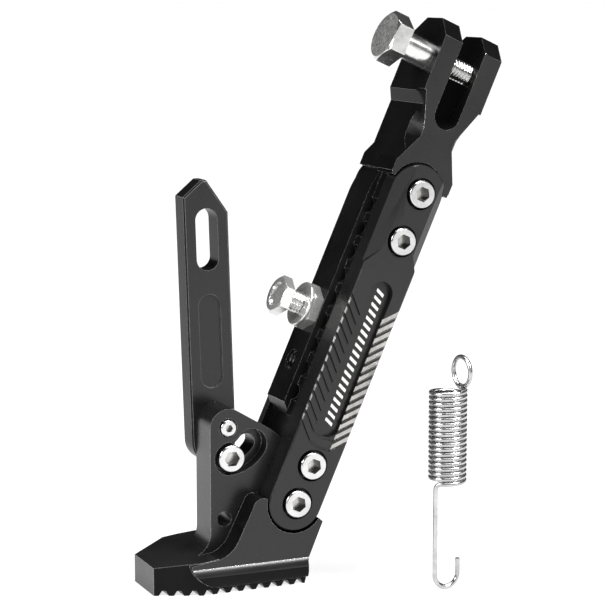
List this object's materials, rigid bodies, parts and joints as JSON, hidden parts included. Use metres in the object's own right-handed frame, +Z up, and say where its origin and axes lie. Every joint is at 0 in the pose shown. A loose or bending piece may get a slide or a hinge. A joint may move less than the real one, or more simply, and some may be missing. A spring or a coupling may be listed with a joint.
{
  "type": "motorcycle side stand",
  "caption": "Length-adjustable motorcycle side stand: slotted clevis bar between two plates, toothed foot, tilting kick lever, stop bolt, pivot bolt and a loose return spring.",
  "frame": {"origin": "centre of the pivot: the pivot bolt's axis midway across the clevis gap", "axes": "+Z up, +X to the right across the plane in which the leg leans, +Y to the back; the leg leans 24 degrees with its top towards +X"},
  "size_m": [0.139, 0.0713, 0.207],
  "materials": {
    "black_anodised": "satin black anodised",
    "zinc_steel": "bright zinc plated",
    "screw_chrome": "polished",
    "spring_steel": "drawn wire, plated"
  },
  "bodies": {
    "pivot": {"pivot_bolt": "zinc_steel"},
    "upper_leg": {"clevis_bar": "black_anodised", "stop_lock_nut": "zinc_steel", "stop_washer": "zinc_steel"},
    "stop": {"stop_bolt": "zinc_steel"},
    "lower_leg": {"front_plate": "black_anodised", "rear_plate": "black_anodised", "foot": "black_anodised", "length_clamp_screws": "screw_chrome", "length_clamp_nuts": "zinc_steel", "foot_screws": "screw_chrome", "foot_nuts": "zinc_steel"},
    "lever": {"kick_lever": "black_anodised", "lever_clamp_screw": "screw_chrome", "lever_pivot_screw": "screw_chrome"},
    "spring": {"return_spring": "spring_steel"}
  },
  "joints": [
    {"name": "stand_swing", "type": "hinge", "parent": "pivot", "child": "upper_leg", "pos_m": [0, 0, 0], "axis": [0.9135, 0, -0.4067], "range_deg": [0, 100]},
    {"name": "length_adjust", "type": "slide", "parent": "upper_leg", "child": "lower_leg", "axis": [-0.4067, 0, -0.9135], "range_m": [0, 0.046]},
    {"name": "stop_bolt_screw", "type": "slide", "parent": "upper_leg", "child": "stop", "axis": [0.9135, 0, -0.4067], "range_m": [-0.004, 0.0038]},
    {"name": "lever_swing", "type": "hinge", "parent": "lower_leg", "child": "lever", "pos_m": [-0.0913, 0, -0.1271], "axis": [0, -1, 0], "range_deg": [0, 44]},
    {"name": "spring_lift", "type": "slide", "parent": "pivot", "child": "spring", "axis": [0, 0, 1], "range_m": [0, 0.04]}
  ]
}
